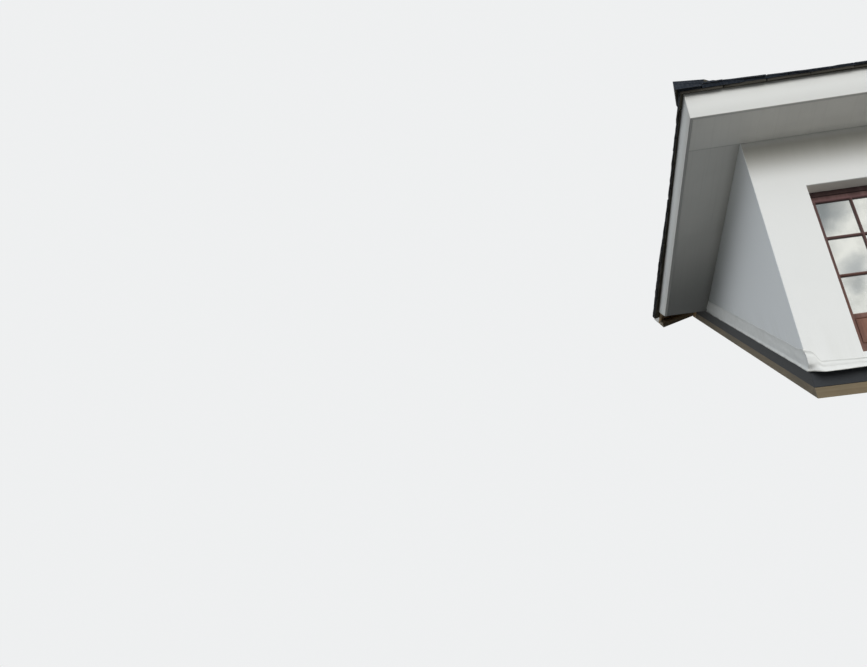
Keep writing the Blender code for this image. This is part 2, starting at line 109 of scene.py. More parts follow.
class Finish:
    def __init__(self, name, owner=None, **constants):
        self.material = owner or bpy.data.materials.new(name)
        self.material.use_nodes = True
        self.tree = self.material.node_tree
        self.shader = self.tree.nodes.get("Principled BSDF")
        for socket, value in constants.items():
            self.shader.inputs[socket.replace("_", " ")].default_value = value

    def add(self, kind, settings=None, sockets=None, output=0):
        node = self.tree.nodes.new(kind)
        for key, value in (settings or {}).items():
            if key == "stops":
                while len(node.color_ramp.elements) < len(value):
                    node.color_ramp.elements.new(1.0)
                for element, (place, colour) in zip(node.color_ramp.elements, value):
                    element.position = place
                    element.color = (*colour, 1.0)
            else:
                setattr(node, key, value)
        for key, value in (sockets or {}).items():
            if isinstance(value, Signal):
                self.tree.links.new(value.socket, node.inputs[key])
            else:
                node.inputs[key].default_value = value
        return Signal(self, node.outputs[output])

    def set(self, socket, signal):
        self.tree.links.new(signal.socket, self.shader.inputs[socket])

    def place(self, turn=(0, 0, 0), size=(1, 1, 1)):
        # object coordinates, turned and stretched as a texture is
        sockets = {"Vector": self.add("ShaderNodeTexCoord", output="Object"), "Rotation": turn, "Scale": size}
        return self.add("ShaderNodeMapping", {"vector_type": "TEXTURE"}, sockets)

    def parts(self, kind, signal):
        split = self.add(kind, {}, {0: signal})
        return [Signal(self, out) for out in split.socket.node.outputs]

    def axes(self, vector=None):
        return self.parts("ShaderNodeSeparateXYZ", vector or self.add("ShaderNodeTexCoord", output="Object"))

    def attribute(self, name):
        colour = self.add("ShaderNodeAttribute", {"attribute_name": name}, output="Color")
        return self.parts("ShaderNodeSeparateColor", colour)

    def grain(self, vector, scale, detail=5.0, roughness=0.6, distortion=0.0):
        sockets = {
            "Vector": vector, "Scale": scale, "Detail": detail,
            "Roughness": roughness, "Distortion": distortion,
        }
        return self.add("ShaderNodeTexNoise", {}, sockets, "Fac")

    def cells(self, vector, scale, feature="F1"):
        sockets = {"Vector": vector, "Scale": scale}
        return self.add("ShaderNodeTexVoronoi", {"feature": feature}, sockets, "Distance")

    def colours(self, signal, stops):
        return self.add("ShaderNodeValToRGB", {"stops": stops}, {"Fac": signal}, "Color")

    def mix(self, amount, first, second, blend="MIX"):
        sockets = {0: amount, 6: first, 7: second}
        for key in (6, 7):
            if isinstance(sockets[key], tuple):
                sockets[key] = (*sockets[key], 1.0)
        return self.add("ShaderNodeMix", {"data_type": "RGBA", "blend_type": blend}, sockets, 2)

    def coats(self, colour, *coats):
        # each coat is an amount and a colour laid over what is there
        for amount, tint in coats:
            colour = self.mix(amount, colour, tint)
        return colour

    def shade(self, colour, amount):
        # multiplies a colour by a number
        grey = self.add("ShaderNodeCombineColor", {}, {0: amount, 1: amount, 2: amount})
        return self.mix(1.0, colour, grey, "MULTIPLY")

    def done(self, colour, height, distance, strength, roughness=None):
        # the colour, the relief from a height, and the material
        self.set("Base Color", colour)
        if roughness is not None:
            self.set("Roughness", roughness)
        sockets = {"Height": height, "Distance": distance, "Strength": strength}
        self.set("Normal", self.add("ShaderNodeBump", {}, sockets))
        return self.material


# Finishes

def wallPaint():
    settings = {"paint": (0.775, 0.775, 0.750), "membrane": (0.040, 0.043, 0.047), "dirt": (0.52, 0.51, 0.45)}
    finish = Finish("paintedRender", Roughness=0.86)
    here = finish.place()
    x, y, z = finish.axes()
    patches = finish.grain(here, 2.2)
    streaks = finish.grain(finish.place(size=(0.05, 0.05, 0.6)), 1.0)
    onFront = 1 - y.ramp(wallFront, wallFront + 0.004)
    # painted shade: the front darkens in a band below the soffit, a little less right at the soffit line
    eaveShade = z.ramp(soffitLevel - 0.26, soffitLevel - 0.05) * (0.92 + streaks * 0.16) * onFront
    eaveShade = eaveShade * (1 - z.ramp(soffitLevel - 0.045, soffitLevel - 0.004) * 0.40)
    onCheek = (abs(x) - wallX).ramp(-0.004, -0.001)
    # painted shade: the cheeks darken towards the soffit, more towards the back
    cheekShade = onCheek * z.ramp(soffitLevel - 0.50, soffitLevel) * y.ramp(wallFront - 0.20, wallFront + 1.35)
    inReveal = y.ramp(wallFront + 0.002, wallFront + 0.010) * (1 - onCheek)
    aboveRoof = z * cosine - y * sine - roofDepth
    foot = 1 - (aboveRoof + (patches - 0.5) * 0.05).ramp(0.02, 0.22)
    specks = 1 - finish.cells(here, 150.0).ramp(0.03, 0.09)
    # painted light: the cheeks are painted lighter and bluer than the front
    colour = finish.coats(
        settings["paint"], (patches.ramp(0.40, 0.75) * 0.22, (0.70, 0.705, 0.685)),
        (eaveShade * 0.76, (0.235, 0.225, 0.185)), (onCheek * 0.8, (0.835, 0.850, 0.845)),
        (cheekShade * 0.60, (0.235, 0.248, 0.246)), (inReveal * 0.5, (0.80, 0.735, 0.64)),
        (foot * streaks.ramp(0.30, 0.75) * 0.16, settings["dirt"]),
        (specks * patches.ramp(0.45, 0.70) * 0.25, (0.42, 0.41, 0.37)),
        (1 - aboveRoof.ramp(-0.004, 0.0), settings["membrane"]),
    )
    sand = finish.grain(here, 420.0, 3.0, 0.6) * 0.25
    trowel = finish.grain(here, 9.0, 3.0, 0.5) * 0.9
    return finish.done(colour, sand + trowel, 0.0022, 0.55)


def boardPaint(name, paint, dirt, stainAndShadeAt, footShade):
    # painted fibre cement board: a band of stain and painted shade under the slates, painted shade towards
    # its lower edge and a dirt line along it
    finish = Finish(name, Roughness=0.5)
    here = finish.place()
    x, y, z = finish.axes()
    patches = finish.grain(here, 3.0)
    runs = finish.grain(finish.place(size=(0.03, 0.03, 0.35)), 1.0, 6.0, 0.65)
    corner, far, reach = stainAndShadeAt
    fromCorner = (y - eaveY) + (eaveX - abs(x))
    band = corner + fromCorner.ramp(0.0, reach) * (far - corner) + (runs - 0.5) * 0.006
    # painted shade together with dirt: a dark band under the slates, and a fainter one reaching further down
    stain = 1 - (slateUnder - z - band).ramp(-0.004, 0.004)
    softStainAndShade = 1 - (slateUnder - z - band * 1.6).ramp(-0.004, 0.016)
    # painted shade: darker towards the lower edge, by footShade
    lower = 1 - (z - soffitLevel).ramp(0.0, 0.085)
    foot = 1 - (z - soffitLevel + (runs - 0.5) * 0.003).ramp(-0.0055, 0.0008)
    colour = finish.coats(
        paint, (patches.ramp(0.45, 0.80) * 0.25, tuple(c * 0.88 for c in paint)),
        (runs.ramp(0.55, 0.80) * 0.12, dirt), (stain * 0.80, (0.150, 0.135, 0.095)),
        (softStainAndShade * 0.25, (0.30, 0.28, 0.22)), (lower * footShade, (0.40, 0.395, 0.37)),
        (foot * 0.15, (0.24, 0.190, 0.14)),
    )
    brush = finish.grain(finish.place(size=(0.25, 0.25, 0.012)), 1.0, 3.0, 0.5)
    relief = brush * 0.35 + finish.grain(here, 60.0, 3.0, 0.5) * 0.4
    return finish.done(colour, relief, 0.0008, 0.5, 0.42 + patches * 0.22)


def soffitPaint():
    finish = Finish("soffitPaint", Roughness=0.72)
    here = finish.place()
    x, y, z = finish.axes()
    patches = finish.grain(here, 2.6)
    brush = finish.grain(finish.place(size=(0.014, 0.9, 0.014)), 1.0, 4.0, 0.6)
    beside = abs(x) - wallX  # above zero outside the cheeks
    # painted shade: darker along the creases where the side soffits meet the cheeks and the front soffit
    # meets the front wall
    wallLine = (1 - beside.ramp(0.002, 0.05)) * y.ramp(wallFront, wallFront + 0.01)
    frontLine = y.ramp(wallFront - 0.060, wallFront - 0.001) * (1 - y.ramp(wallFront, wallFront + 0.002))
    frontLine = frontLine * (1 - beside.ramp(-0.01, 0.01))
    # painted shade: darker towards the far end
    farEnd = y.ramp(0.55, 1.45) * (0.45 + patches * 0.2)
    creaseShade = (wallLine * 0.34 + frontLine * 0.10).clamped() * (0.5 + patches * 0.6)
    seam = (1 - abs(y - wallFront).ramp(0.0012, 0.0045)) * beside.ramp(-0.002, 0.002)
    colour = finish.coats(
        (0.735, 0.720, 0.675), (patches.ramp(0.40, 0.75) * 0.35, (0.610, 0.598, 0.560)),
        (brush.ramp(0.50, 0.80) * 0.16, (0.40, 0.39, 0.35)), (farEnd, (0.27, 0.28, 0.275)),
        (creaseShade, (0.16, 0.15, 0.11)), (seam * 0.25, (0.10, 0.098, 0.085)),
    )
    atFront = 1 - y.ramp(wallFront - 0.002, wallFront + 0.002)
    overWall = 1 - beside.ramp(-0.06, 0.02)
    # painted light: the front soffit is lighter, most of all over the front wall
    paintedLight = 1 + atFront * 0.09 + atFront * overWall * y.ramp(wallFront - 0.10, wallFront) * 0.16
    # painted shade: the ramp taken off here darkens the soffit towards the far end
    colour = finish.shade(colour, paintedLight - y.ramp(-0.2, 1.9) * 0.5)
    return finish.done(colour, finish.grain(here, 45.0, 3.0, 0.5) * 0.5 + brush * 0.3, 0.0008, 0.5)


def slateFinish():
    finish = Finish("rivenSlate", Roughness=0.6, Specular_IOR_Level=0.4)
    tone, kind, shift = finish.attribute("slateTone")
    # each slate has its own part of the pattern
    apart = finish.add("ShaderNodeCombineXYZ", {}, {0: shift * 7, 1: kind * 5, 2: tone * 3})
    moved = finish.add("ShaderNodeVectorMath", {"operation": "ADD"}, {0: finish.place(), 1: apart})
    colour = finish.colours(kind, [
        (0.00, (0.060, 0.072, 0.084)), (0.30, (0.078, 0.088, 0.090)), (0.52, (0.052, 0.060, 0.066)),
        (0.72, (0.088, 0.092, 0.080)), (0.86, (0.120, 0.108, 0.090)), (0.92, (0.195, 0.150, 0.100)),
        (0.96, (0.175, 0.100, 0.062)), (1.00, (0.200, 0.160, 0.150)),
    ])
    broad = finish.grain(moved, 9.0)
    fine = finish.grain(moved, 70.0, 5.0, 0.65)
    colour = finish.shade(colour, (0.62 + tone * 0.75) * (0.70 + broad * 0.60))
    rust = finish.grain(moved, 16.0, 4.0, 0.6, 0.6).ramp(0.58, 0.75) * kind.ramp(0.35, 1.0)
    lichen = (1 - finish.cells(moved, 38.0).ramp(0.10, 0.30)) * broad.ramp(0.52, 0.70)
    colour = finish.coats(
        colour, (rust * 0.35, (0.150, 0.088, 0.045)), (lichen * 0.40, (0.230, 0.235, 0.200)))
    riven = finish.cells(moved, 24.0, "SMOOTH_F1")
    relief = broad * 0.8 + riven * 0.5 + fine * 0.25
    return finish.done(colour, relief, 0.0035, 0.7, 0.46 + fine * 0.30)


def slateEdge():
    # broken edges, darker and bluer than the faces; on the short slates under the front eave they are brown
    finish = Finish("slateEdge", Roughness=0.7, Specular_IOR_Level=0.25)
    fine = finish.grain(finish.place(), 90.0, 4.0, 0.6)
    shift = finish.attribute("slateTone")[2]
    colour = finish.mix(fine.ramp(0.35, 0.70), (0.012, 0.017, 0.027), (0.032, 0.038, 0.048))
    colour = finish.mix(shift.ramp(1.5, 1.9), colour, (0.064, 0.058, 0.049))
    return finish.done(colour, fine, 0.002, 0.6)


def slateBack():
    # undersides at the eave, dulled brown
    finish = Finish("slateBack", Roughness=0.8, Specular_IOR_Level=0.25)
    here = finish.place()
    broad = finish.grain(here, 14.0)
    colour = finish.mix(broad.ramp(0.35, 0.70), (0.085, 0.076, 0.056), (0.140, 0.128, 0.098))
    return finish.done(colour, finish.grain(here, 50.0, 4.0, 0.6), 0.002, 0.6)


def hardwood(name, direction, redness):
    # stained joinery, grey-brown and redder towards the foot; a painted shadow makes the top of the frame
    # near black, and a painted highlight lightens a strip of the sash top just below
    finish = Finish(name, Roughness=0.4, Specular_IOR_Level=0.4)
    turn = Vector(direction).to_track_quat("Z", "Y").to_euler()
    z = finish.axes()[2]
    foot, top = (corner.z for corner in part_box("window_frame"))
    figure = finish.grain(finish.place(turn, (1, 1, 22)), 26.0, 5.0, 0.6, 0.5)
    pores = finish.grain(finish.place(turn, (1, 1, 30)), 300.0, 3.0, 0.6)
    grey = finish.colours(figure, [
        (0.28, (0.058, 0.030, 0.029)), (0.46, (0.096, 0.050, 0.047)),
        (0.60, (0.130, 0.071, 0.066)), (0.80, (0.172, 0.108, 0.096)),
    ])
    red = finish.colours(figure, [
        (0.28, (0.110, 0.047, 0.032)), (0.46, (0.167, 0.075, 0.051)),
        (0.60, (0.210, 0.101, 0.069)), (0.80, (0.258, 0.139, 0.099)),
    ])
    worn = finish.grain(finish.place(), 5.0)
    low = 1 - (z + (worn - 0.5) * 0.25).ramp(foot + 0.16, foot + 0.62)
    # painted highlight: a strip across the top of the sash is made lighter and pinker
    railHighlight = z.ramp(top - 0.080, top - 0.075) * (1 - z.ramp(top - 0.074, top - 0.056))
    # painted shadow: the top of the frame is made near black
    headShadow = z.ramp(top - 0.054, top - 0.046)
    colour = finish.coats(
        grey, (low * redness, red), (pores.ramp(0.56, 0.72) * 0.40, (0.034, 0.018, 0.015)),
        (worn.ramp(0.50, 0.75) * 0.22, (0.215, 0.150, 0.125)), (railHighlight * 0.40, (0.200, 0.100, 0.102)),
        (headShadow * 0.70, (0.024, 0.014, 0.014)),
    )
    return finish.done(colour, figure * 0.5 + pores * 0.3, 0.0007, 0.55, 0.36 + worn * 0.30)


def softwood(name, direction, toneName=None, treated=False):
    finish = Finish(name, Roughness=0.78)
    turn = Vector(direction).to_track_quat("Z", "Y").to_euler()
    rings = finish.grain(finish.place(turn, (1, 1, 16)), 34.0, 4.0, 0.55, 1.2)
    fibres = finish.grain(finish.place(turn, (1, 1, 40)), 260.0, 3.0, 0.6)
    colour = finish.colours(rings, [
        (0.30, (0.340, 0.200, 0.098)), (0.48, (0.500, 0.335, 0.180)),
        (0.62, (0.600, 0.430, 0.250)), (0.78, (0.660, 0.500, 0.315)),
    ])
    knots = 1 - finish.cells(finish.place(turn, (1, 1, 3.2)), 5.0).ramp(0.055, 0.115)
    colour = finish.coats(
        colour, (fibres.ramp(0.50, 0.75) * 0.22, (0.34, 0.22, 0.12)), (knots * 0.75, (0.150, 0.075, 0.035)))
    if toneName:
        colour = finish.shade(colour, 0.78 + finish.attribute(toneName)[0] * 0.34)
    stain = finish.grain(finish.place(), 2.5, 4.0, 0.6)
    colour = finish.mix(stain.ramp(0.52, 0.80) * 0.25, colour, (0.33, 0.29, 0.24))
    if treated:
        colour = finish.mix(0.62 + stain * 0.4, colour, (0.075, 0.070, 0.048))
    return finish.done(colour, rings * 0.5 + fibres * 0.5, 0.0011, 0.6)


def paneGlass():
    settings = {
        "clear": (0.90, 0.92, 0.925), "hazy": (0.78, 0.80, 0.80), "dull": (0.52, 0.55, 0.555), "reach": 0.22,
    }
    finish = Finish("paneGlass", Metallic=0.86, Roughness=0.03, Alpha=0.95)
    here = finish.place()
    x, y, z = finish.axes()
    film = finish.grain(here, 9.0, 4.0, 0.6)
    # a film of dust in the upper outer corner of each sash, which also paints a darker reflection there
    low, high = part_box("left_sash_glass")
    across = (-low.x - abs(x)) / settings["reach"]
    below = (high.z - z) / settings["reach"]
    dustAndDarkReflection = 1 - (across + below + (film - 0.5) * 0.6).ramp(0.15, 1.25)
    colour = finish.coats(
        settings["clear"], (film.ramp(0.42, 0.70), settings["hazy"]), (dustAndDarkReflection, settings["dull"]))
    return finish.done(colour, finish.grain(here, 7.0, 1.0, 0.4), 0.0006, 0.35, 0.02 + film * 0.035)


def leadSheet():
    finish = Finish("leadSheet", Metallic=0.75, Roughness=0.6)
    here = finish.place()
    bloom = finish.grain(here, 6.0, 6.0, 0.65)
    colour = finish.mix(bloom.ramp(0.35, 0.70), (0.215, 0.225, 0.235), (0.390, 0.395, 0.395))
    streak = finish.grain(finish.place(size=(0.05, 0.05, 0.5)), 1.0)
    colour = finish.mix(streak.ramp(0.55, 0.75) * 0.4, colour, (0.55, 0.55, 0.53))
    finish.set("Metallic", 0.85 - bloom * 0.4)
    return finish.done(colour, finish.grain(here, 18.0, 3.0, 0.5), 0.002, 0.5, 0.48 + bloom * 0.3)


def membranePaint():
    # flashing membrane dressed by hand, painted with the wall
    finish = Finish("membranePaint", Roughness=0.8)
    here = finish.place()
    drop = finish.attribute("sheetEdge")[0]
    mottle = finish.grain(here, 38.0, 5.0, 0.65)
    patches = finish.grain(here, 6.0)
    colour = finish.coats(
        (0.735, 0.735, 0.705), (mottle.ramp(0.45, 0.75) * 0.28, (0.60, 0.60, 0.57)),
        (patches.ramp(0.50, 0.72) * 0.22, (0.52, 0.515, 0.47)),
    )
    atFront = 1 - finish.axes()[1].ramp(wallFront - 0.004, wallFront - 0.001)
    lapLine = 1 - (drop + (mottle - 0.5) * 0.10).ramp(0.03, 0.22)
    lapLine = lapLine * (0.10 + atFront * (0.35 + patches.ramp(0.40, 0.60) * 0.35))
    footLine = (drop + (mottle - 0.5) * 0.10).ramp(0.93, 1.0)
    bare = (1 - finish.cells(here, 30.0).ramp(0.04, 0.11)) * patches.ramp(0.52, 0.66)
    # painted shade: the sheet is a little darker on the front than on the cheeks
    colour = finish.coats(
        finish.shade(colour, 1 - atFront * 0.09), (lapLine, (0.30, 0.30, 0.275)),
        (footLine * 0.60, (0.17, 0.165, 0.14)), (bare * 0.45, (0.22, 0.22, 0.21)),
    )
    return finish.done(colour, mottle * 0.6 + finish.grain(here, 140.0, 3.0, 0.6) * 0.3, 0.002, 0.6)


finishes = {
    "wall": wallPaint(),
    "frontFascia": boardPaint(
        "frontFasciaPaint", (0.725, 0.725, 0.695), (0.50, 0.48, 0.42), (0.0, 0.006, 0.8), 0.26),
    "sideFascia": boardPaint(
        "sideFasciaPaint", (0.630, 0.640, 0.625), (0.46, 0.45, 0.41), (0.0, 0.022, 1.8), 0.55),
    "soffit": soffitPaint(),
    "slate": slateFinish(),
    "slateEdge": slateEdge(),
    "slateBack": slateBack(),
    "upright": hardwood("hardwoodUpright", (0, 0, 1), 0.50),
    "level": hardwood("hardwoodLevel", (1, 0, 0), 0.80),
    "panel": hardwood("hardwoodPanel", (0, 0, 1), 0.95),
    "boardsAcross": softwood("boardsAcross", (1, 0, 0), "boardTone"),
    "boardsAlong": softwood("boardsAlong", (0, 1, 0), "boardTone"),
    "glass": paneGlass(),
    "lead": leadSheet(),
    "membrane": membranePaint(),
}
for name, way in [
    ("softwoodAcross", (1, 0, 0)), ("softwoodAlong", (0, 1, 0)), ("softwoodFrontSlope", (0, cosine, sine)),
    ("softwoodLeftSlope", (cosine, 0, sine)), ("softwoodRightSlope", (-cosine, 0, sine)),
    ("softwoodLeftHip", (1, 1, rise)), ("softwoodRightHip", (-1, 1, rise)),
    ("treatedAcross", (1, 0, 0)), ("treatedSeat", (0, cosine, sine)),
    ("treatedLeftHip", (1, 1, rise)), ("treatedRightHip", (-1, 1, rise)),
]:
    finishes[name] = softwood(name, way, treated=name.startswith("treated"))
print("finishes made:", len(finishes))


# Mesh helpers

def welded(mesh, dist=0.00002):
    # loose triangles joined up, with flat faces made one
    bm = bmesh.new()
    bm.from_mesh(mesh)
    bmesh.ops.remove_doubles(bm, verts=bm.verts, dist=dist)
    bmesh.ops.dissolve_limit(bm, angle_limit=0.002, verts=bm.verts, edges=bm.edges)
    return bm


def copyOf(nodeName):
    return welded(cadNodes[nodeName].data)


def toneMesh(layerName):
    bm = bmesh.new()
    bm.verts.layers.float_color.new(layerName)
    return bm


def joinInto(whole, part):
    mesh = bpy.data.meshes.new("part")
    part.to_mesh(mesh)
    part.free()
    whole.from_mesh(mesh)
    bpy.data.meshes.remove(mesh)


def objectFrom(name, bm):
    mesh = bpy.data.meshes.new(name)
    bm.to_mesh(mesh)
    bm.free()
    made = bpy.data.objects.new(name, mesh)
    bpy.context.scene.collection.objects.link(made)
    return made


def cutAway(bm, point, normal):
    # removes what lies on the side that the normal points to, and closes every cut
    geometry = bm.verts[:] + bm.edges[:] + bm.faces[:]
    cut = bmesh.ops.bisect_plane(bm, geom=geometry, dist=0.000001, plane_co=point, plane_no=normal,
                                 clear_outer=True)
    rim = [e for e in cut["geom_cut"] if isinstance(e, bmesh.types.BMEdge) and e.is_boundary]
    if rim:
        bmesh.ops.holes_fill(bm, edges=rim, sides=0)


def ease(bm, edges, width, segments):
    bmesh.ops.bevel(bm, geom=edges, offset=width, offset_type="OFFSET", segments=segments, profile=0.5,
                    affect="EDGES", clamp_overlap=True, material=-1)


def soften(bm, width, segments, keep=None):
    sharp = [e for e in bm.edges if e.is_manifold and e.calc_face_angle(0) > math.radians(25)]
    ease(bm, [e for e in sharp if keep is None or keep(e)], width, segments)


def finishPiece(name, bm, finishNames, nodes, pick=None):
    bmesh.ops.recalc_face_normals(bm, faces=bm.faces)
    if pick:
        for face in bm.faces:
            face.material_index = pick(face)
    openEdges = sum(1 for e in bm.edges if not e.is_manifold)
    piece = objectFrom(name, bm)
    for finishName in finishNames:
        piece.data.materials.append(finishes[finishName])
    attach(piece, "root")
    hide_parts(*nodes)
    piece.data.calc_loop_triangles()
    print("piece", name, "triangles", len(piece.data.loop_triangles), "open edges", openEdges)
    return piece


def dress(finishName, *nodeNames):
    for nodeName in nodeNames:
        materials = cadNodes[nodeName].data.materials
        materials.clear()
        materials.append(finishes[finishName])


# Walls as one skin: the front and both cheeks, with rounded arrises

walls = {"arris": 0.004, "overlap": 0.010, "topsAbove": 1.0, "feetBelow": -0.3, "reach": 0.0005}


def buildWalls():
    base = objectFrom("wallBase", copyOf("front_wall"))
    helpers = [base]
    for side in ("left_cheek", "right_cheek"):
        bm = copyOf(side)
        ends = [v for v in bm.verts if v.co.y < wallBack + 0.001]
        bmesh.ops.translate(bm, verts=ends, vec=(0, -walls["overlap"], -walls["overlap"] * rise))
        for v in ends:
            if v.co.z > walls["topsAbove"]:
                v.co.z += walls["overlap"] * rise
        helper = objectFrom(side + "Helper", bm)
        helpers.append(helper)
        step = base.modifiers.new(side, "BOOLEAN")
        step.operation = "UNION"
        step.object = helper
    bm = welded(base.evaluated_get(bpy.context.evaluated_depsgraph_get()).to_mesh(), 0.00005)
    for helper in helpers:
        bpy.data.objects.remove(helper)

    def outward(edge):
        # the arrises of the front, above its foot
        return all(v.co.y < wallFront + walls["reach"] and v.co.z > walls["feetBelow"] for v in edge.verts)

    soften(bm, walls["arris"], 3, outward)
    nodes = ["front_wall", "left_cheek", "right_cheek"]
    finishPiece("renderedWalls", bm, ["wall"], nodes)


buildWalls()


# Eaves: the painted boards with their edges eased

eaves = {"edge": 0.0012}
for side, kind, finishName in [
    ("front", "fascia", "frontFascia"), ("left", "fascia", "sideFascia"), ("right", "fascia", "sideFascia"),
    ("front", "soffit", "soffit"), ("left", "soffit", "soffit"), ("right", "soffit", "soffit"),
]:
    nodeName = side + "_" + kind
    board = copyOf(nodeName)
    soften(board, eaves["edge"], 2)
    finishPiece(side + kind.title(), board, [finishName], [nodeName])


# Slates

slates = {
    "width": 0.200, "exposure": 0.155, "length": 0.335, "thickness": 0.0068, "gap": 0.004, "clear": 0.0002,
    "overhang": 0.021, "shortLengths": (0.048, 0.060), "bedding": 0.0120, "valleyOpening": 0.050,
    "sideOverhangs": ((-0.26, 0.018), (-0.10, 0.012), (0.55, 0.012), (0.95, 0.018), (1.50, 0.023)),
    "frontStack": ((0.50, 0.0178), (0.82, 0.0280), (0.95, 0.0325)),
    "sideStack": ((0.55, 0.0073), (1.05, 0.0150)), "farEnd": 3.1, "ragged": 0.0035, "raggedEave": 0.0018,
    "tailJitter": 0.0035, "widthJitter": 0.0022, "liftJitter": 0.0009, "columnJitter": 0.0015, "swing": 0.006,
    "shortBack": 0.002, "shortGap": 0.0005, "starterBack": 0.001, "starterGap": 0.0003,
    "hipGap": 0.001, "middleGap": 0.0005, "seed": 11,
}
brokenEdge = {"dressed": 0.0035, "worn": 0.0010, "nibbled": 0.0012, "warped": 0.0006}


def slopeFrame(side):
    # columns: along the eave, up the slope, out of the slope
    if side == "front":
        along, up, out, start = (1, 0, 0), (0, cosine, sine), (0, -sine, cosine), (0, eaveY, slateUnder)
    else:
        sign = -1 if side == "left" else 1
        along, up, out = (0, sign, 0), (-sign * cosine, 0, sine), (sign * sine, 0, cosine)
        start = (sign * eaveX, 0, slateUnder)
    return Matrix.Translation(start) @ Matrix((along, up, out)).transposed().to_4x4()


def addSlate(bm, rng, place, size, tail, cuts=(6, 2), tones=(1.0, 1.0), brownEdged=False):
    # one slate of a width, length and thickness: a grid pushed down, with a dressed tail and ragged edges
    width, length, thickness = size
    layer = bm.verts.layers.float_color["slateTone"]
    top = bmesh.ops.create_grid(bm, x_segments=cuts[0], y_segments=cuts[1], size=0.5)["verts"]
    faces = list({f for v in top for f in v.link_faces})
    pushed = bmesh.ops.extrude_face_region(bm, geom=faces, use_keep_orig=True)
    low = [v for v in pushed["geom"] if isinstance(v, bmesh.types.BMVert)]
    sway = rng.uniform(-tail, tail)
    shape = {}
    tone = (rng.random() * tones[0], rng.random() * tones[1], rng.random(), 1.0)
    if brownEdged:
        tone = (tone[0], tone[1], 2.0, 1.0)
    for group, lift in ((top, thickness), (low, 0.0)):
        for v in group:
            key = (round(v.co.x, 3), round(v.co.y, 3))
            if key not in shape:
                x = v.co.x * width
                y = (v.co.y + 0.5) * length
                onTail = v.co.y < -0.49
                onSide = abs(v.co.x) > 0.49
                if onTail:
                    y += rng.uniform(-tail, tail) * 0.6 + sway * v.co.x * 2
                    if onSide:
                        y += rng.uniform(0, tail)
                if onSide:
                    x += rng.uniform(-brokenEdge["nibbled"], brokenEdge["nibbled"])
                z = rng.uniform(-brokenEdge["warped"], brokenEdge["warped"])
                shape[key] = (x, y, z, onTail, onSide, rng.uniform(0.3, 1.0))
            x, y, z, onTail, onSide, chip = shape[key]
            if lift and onTail:
                y += brokenEdge["dressed"] * chip
                z -= brokenEdge["worn"] * chip
            if lift and onSide:
                x -= math.copysign(brokenEdge["nibbled"] * chip, x)
            v.co = (x, y, lift + z)
            v[layer] = tone
    bmesh.ops.transform(bm, matrix=place, verts=top + low)


def beddingUnder(side, stack):
    # height of the lowest short slates, under the starter course
    if side == "front":
        return slates["bedding"]
    return stack / 2 if stack > 1.6 * slates["thickness"] else slates["clear"]


def slateCourses(side, reachLow, reachHigh, overhangAt, stackAt):
    # stackAt gives the height of the first full course's tails, which fades out up the slope
    rng = random.Random(slates["seed"] + len(side) * 7)
    bm = toneMesh("slateTone")
    slope = slopeFrame(side)
    pace, exposure, length, thick, clear = (
        slates[key] for key in ("width", "exposure", "length", "thickness", "clear"))
    count = math.ceil(((eaveX + slates["overhang"]) / cosine - 0.03) / exposure)
    keep = 1 - exposure / length
    steady = (thick + clear) / (1 - keep)
    lowLength, starterLength = slates["shortLengths"]

    def lay(at, size, tail, tilt, tones=(1.0, 1.0), brownEdged=False, lean=0.0):
        # at and size run along the eave, up the slope and out of it
        turn = Matrix.Rotation(-math.asin(min(0.3, tilt / size[1])), 4, "X")
        leaning = Matrix.Rotation(-math.atan(lean), 4, "Y")
        swing = Matrix.Rotation(rng.uniform(-slates["swing"], slates["swing"]), 4, "Z") @ leaning
        place = slope @ Matrix.Translation(at) @ turn @ swing
        addSlate(bm, rng, place, size, tail, tones=tones, brownEdged=brownEdged)

    # short slates under the eave, a starter course in half bond, then the full courses
    for course in range(-2, count):
        first = course < 1
        nominal = 0.0 if first else course * exposure
        tail = slates["raggedEave"] if first else slates["ragged"]
        for column in range(math.floor(reachLow / pace) - 1, math.ceil(reachHigh / pace) + 1):
            centre = (column + 0.5 * (course % 2)) * pace
            centre += rng.uniform(-slates["columnJitter"], slates["columnJitter"])
            width = pace - slates["gap"] + rng.uniform(-1, 1) * slates["widthJitter"]
            overhang = (overhangAt(centre) if first else slates["overhang"]) / cosine
            start = nominal - overhang + rng.uniform(-1, 1) * slates["tailJitter"] * (0.35 if first else 1.0)
            stack = stackAt(centre)
            below = beddingUnder(side, stack)
            # painted shade: the short slates, the starters and the first course under the eave take darker
            # tones and plainer colours
            if course == -2:
                if below > 0.001:
                    size = (width, lowLength, below - slates["shortGap"])
                    at = (centre, start + slates["shortBack"], clear)
                    lay(at, size, tail, 0.0, (0.3, 0.5), side == "front")
            elif course == -1:
                size = (width, starterLength, stack - below - slates["starterGap"])
                lay((centre, start + slates["starterBack"], below), size, tail, 0.0, (0.3, 0.5))
            else:
                lift = steady + (stack - steady) * keep ** course
                extra = rng.uniform(0, 1) * slates["liftJitter"] * (0.4 if first else 1.0)
                lean = (stackAt(centre + width / 2) - stackAt(centre - width / 2)) / width * keep ** course
                tones = (0.6, 0.7) if first else (1.0, 1.0)
                lay((centre, start, lift + extra), (width, length, thick), tail, lift, tones, lean=lean)
    return bm


def hipPlane(sign):
    return Vector((sign * eaveX, eaveY, 0)), Vector((sign, 1, 0)).normalized()


def alongList(points, place):
    # straight steps between listed places
    if place <= points[0][0]:
        return points[0][1]
    for (start, low), (end, high) in zip(points, points[1:]):
        if place <= end:
            return low + (high - low) * (place - start) / (end - start)
    return points[-1][1]


def frontStack(x):
    # the front eave thickens towards its hips
    return alongList(slates["frontStack"], abs(x))


slateFinishes = ["slate", "slateEdge", "slateBack"]


def pickFor(*outs):
    # slate face, broken edge or underside, by the way a face looks against the slopes' own outward ways
    def pick(face):
        most = max(outs, key=lambda out: abs(face.normal.dot(out)))
        facing = face.normal.dot(most)
        return 0 if facing > 0.75 else 2 if facing < -0.75 else 1
    return pick


def outOf(side):
    return slopeFrame(side).to_3x3() @ Vector((0, 0, 1))


